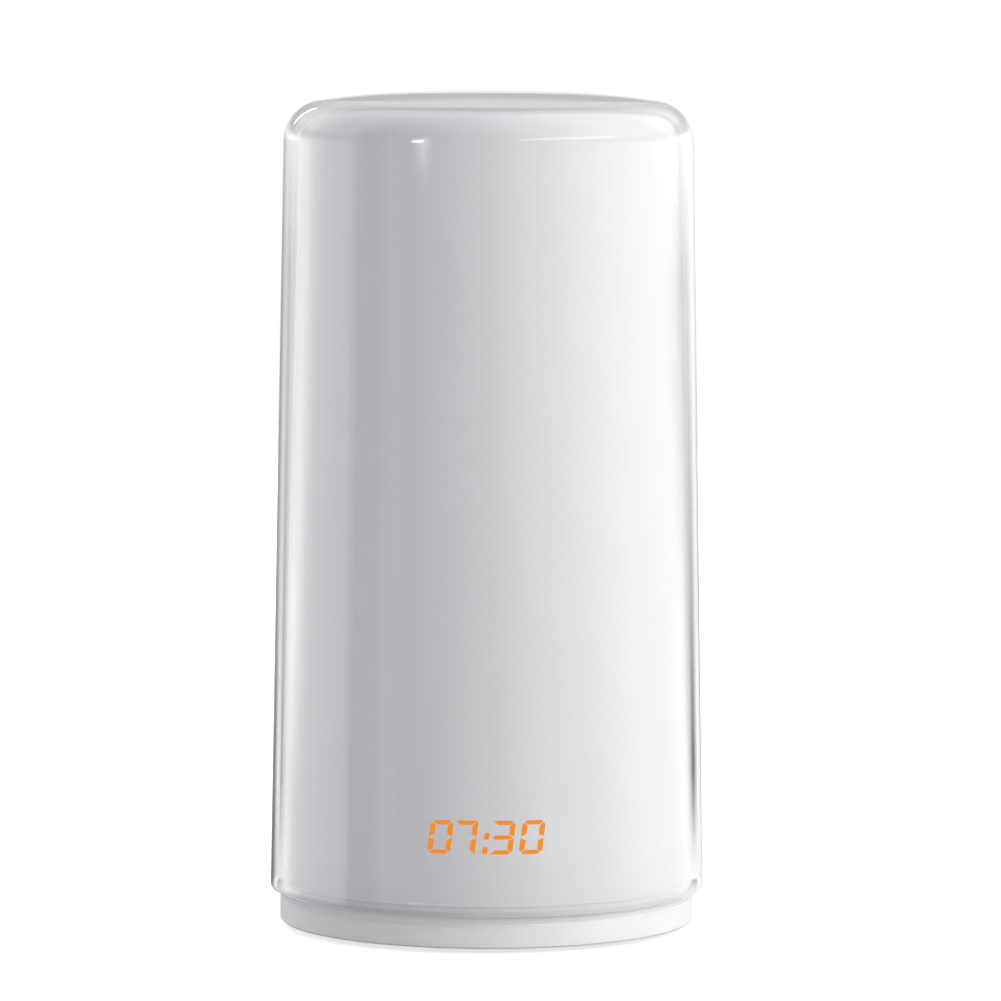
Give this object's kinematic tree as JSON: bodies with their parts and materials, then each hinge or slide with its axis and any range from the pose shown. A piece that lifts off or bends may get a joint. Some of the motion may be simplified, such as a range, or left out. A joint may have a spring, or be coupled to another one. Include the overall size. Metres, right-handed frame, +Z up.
{
  "type": "sunrise alarm clock",
  "caption": "Cylindrical bedside wake-up light: opal diffuser in a clear domed shell on a round white base, glowing clock digits, rear keys, loudspeaker and backup cell.",
  "frame": {"origin": "centre of the footprint, on the surface that the lamp stands on", "axes": "+Z up; the display faces -Y; the keys and the power jack are at +Y"},
  "size_m": [0.106, 0.106, 0.2035],
  "materials": {
    "clear_acrylic": "clear, polished",
    "opal_acrylic": "opal, glossy",
    "lit_display": "glowing amber",
    "white_abs": "moulded, semi-gloss",
    "pale_abs": "moulded, fine spark texture",
    "key_abs": "moulded, satin",
    "silicone_rubber": "matte, pale grey",
    "zinc_steel": "bright",
    "black_nylon": "moulded",
    "circuit_board": "solder mask",
    "brass": "plated",
    "aluminium": "extruded",
    "white_laminate": "satin",
    "led_resin": "cast",
    "white_nylon": "moulded",
    "speaker_steel": "pressed and painted",
    "ferrite": "sintered",
    "paper_cone": "pressed paper",
    "foam_gasket": "foam",
    "red_lead": "insulated wire",
    "black_lead": "insulated wire"
  },
  "bodies": {
    "lamp": {"outer_shell": "clear_acrylic", "inner_diffuser": "opal_acrylic", "base_housing": "white_abs", "bottom_cover": "pale_abs", "rubber_feet": "silicone_rubber", "cover_screws": "zinc_steel", "diffuser_screws": "zinc_steel", "tact_switches": "black_nylon", "dc_jack": "black_nylon", "dc_jack_pin": "brass", "key_board": "circuit_board", "key_board_screws": "zinc_steel", "key_ribbon": "white_laminate", "speaker_frame": "speaker_steel", "speaker_magnet": "ferrite", "speaker_cone": "paper_cone", "speaker_gasket": "foam_gasket", "speaker_leads": "red_lead", "main_board": "circuit_board", "main_board_screws": "zinc_steel", "board_chips": "black_nylon", "board_capacitors": "aluminium", "board_connectors": "white_nylon", "clock_crystal": "zinc_steel", "coin_cell": "zinc_steel", "battery_contacts": "brass", "battery_leads": "red_lead", "power_leads": "black_lead", "led_column": "aluminium", "led_flex_board": "white_laminate", "warm_leds": "led_resin", "colour_leds": "led_resin", "led_leads": "red_lead", "column_screws": "zinc_steel", "column_cap": "white_nylon", "touch_plate": "brass", "touch_spring": "zinc_steel", "touch_lead": "black_lead", "display_board": "circuit_board", "display_leds": "led_resin", "display_reflector": "white_nylon", "display_screws": "zinc_steel", "display_ribbon": "white_laminate", "lit_segments": "lit_display", "unlit_segments": "opal_acrylic"},
    "time_key": {"time_button": "key_abs", "time_switch_plunger": "black_nylon"},
    "alarm_key": {"alarm_button": "key_abs", "alarm_switch_plunger": "black_nylon"},
    "plus_key": {"plus_button": "key_abs", "plus_switch_plunger": "black_nylon"},
    "minus_key": {"minus_button": "key_abs", "minus_switch_plunger": "black_nylon"},
    "cell_door": {"battery_door": "pale_abs"}
  },
  "joints": [
    {"name": "time_key_press", "type": "slide", "parent": "lamp", "child": "time_key", "axis": [0.5, -0.866, 0], "range_m": [0, 0.0005], "stiffness_N_per_m": 300, "springref_m": -0.0005},
    {"name": "alarm_key_press", "type": "slide", "parent": "lamp", "child": "alarm_key", "axis": [0.2756, -0.9613, 0], "range_m": [0, 0.0005], "stiffness_N_per_m": 300, "springref_m": -0.0005},
    {"name": "plus_key_press", "type": "slide", "parent": "lamp", "child": "plus_key", "axis": [-0.2756, -0.9613, 0], "range_m": [0, 0.0005], "stiffness_N_per_m": 300, "springref_m": -0.0005},
    {"name": "minus_key_press", "type": "slide", "parent": "lamp", "child": "minus_key", "axis": [-0.5, -0.866, 0], "range_m": [0, 0.0005], "stiffness_N_per_m": 300, "springref_m": -0.0005},
    {"name": "cell_door_turn", "type": "hinge", "parent": "lamp", "child": "cell_door", "pos_m": [0, -0.031, 0.0012], "axis": [0, 0, -1], "range_deg": [0, 30]}
  ]
}
